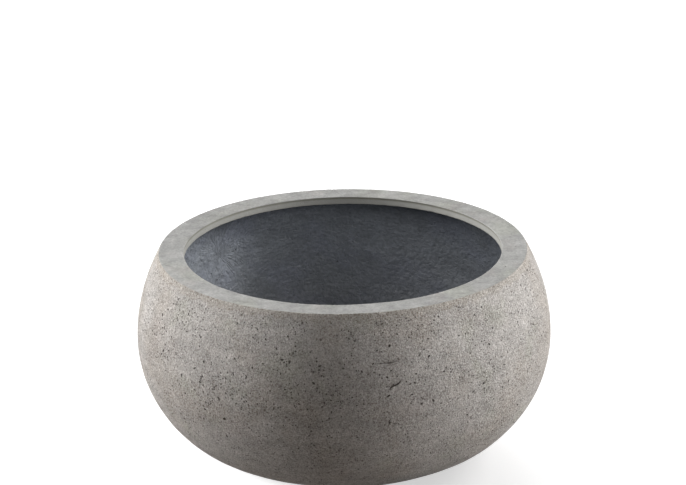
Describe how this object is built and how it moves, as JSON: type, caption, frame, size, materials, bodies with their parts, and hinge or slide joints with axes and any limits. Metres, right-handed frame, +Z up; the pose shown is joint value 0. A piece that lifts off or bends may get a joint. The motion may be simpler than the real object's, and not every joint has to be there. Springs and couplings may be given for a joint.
{
  "type": "bowl planter",
  "caption": "Squat, wide-bellied concrete bowl planter with a smooth flat in-turned rim, a dark laminate lining and a rubber drain stopper.",
  "frame": {"origin": "middle of the underside, on the surface the bowl stands on", "axes": "+Z up along the bowl's axis; the bowl is round, so +X and +Y are free"},
  "size_m": [0.5999, 0.6, 0.3],
  "materials": {
    "pitted_concrete": "matt, finely pitted, warm grey with brownish and greenish clouds",
    "smooth_concrete": "matt, trowelled smooth, slightly greenish grey, few pores",
    "coated_laminate": "satin slate-grey coat over glass mat, with fine wrinkles",
    "black_rubber": "matt black moulded rubber"
  },
  "bodies": {
    "bowl": {"outer_shell": "pitted_concrete", "rim_ring": "smooth_concrete", "inner_liner": "coated_laminate"},
    "stopper": {"drain_plug": "black_rubber"}
  },
  "joints": [
    {"name": "stopper_lift", "type": "slide", "parent": "bowl", "child": "stopper", "axis": [0, 0, 1], "range_m": [0, 0.32]}
  ]
}
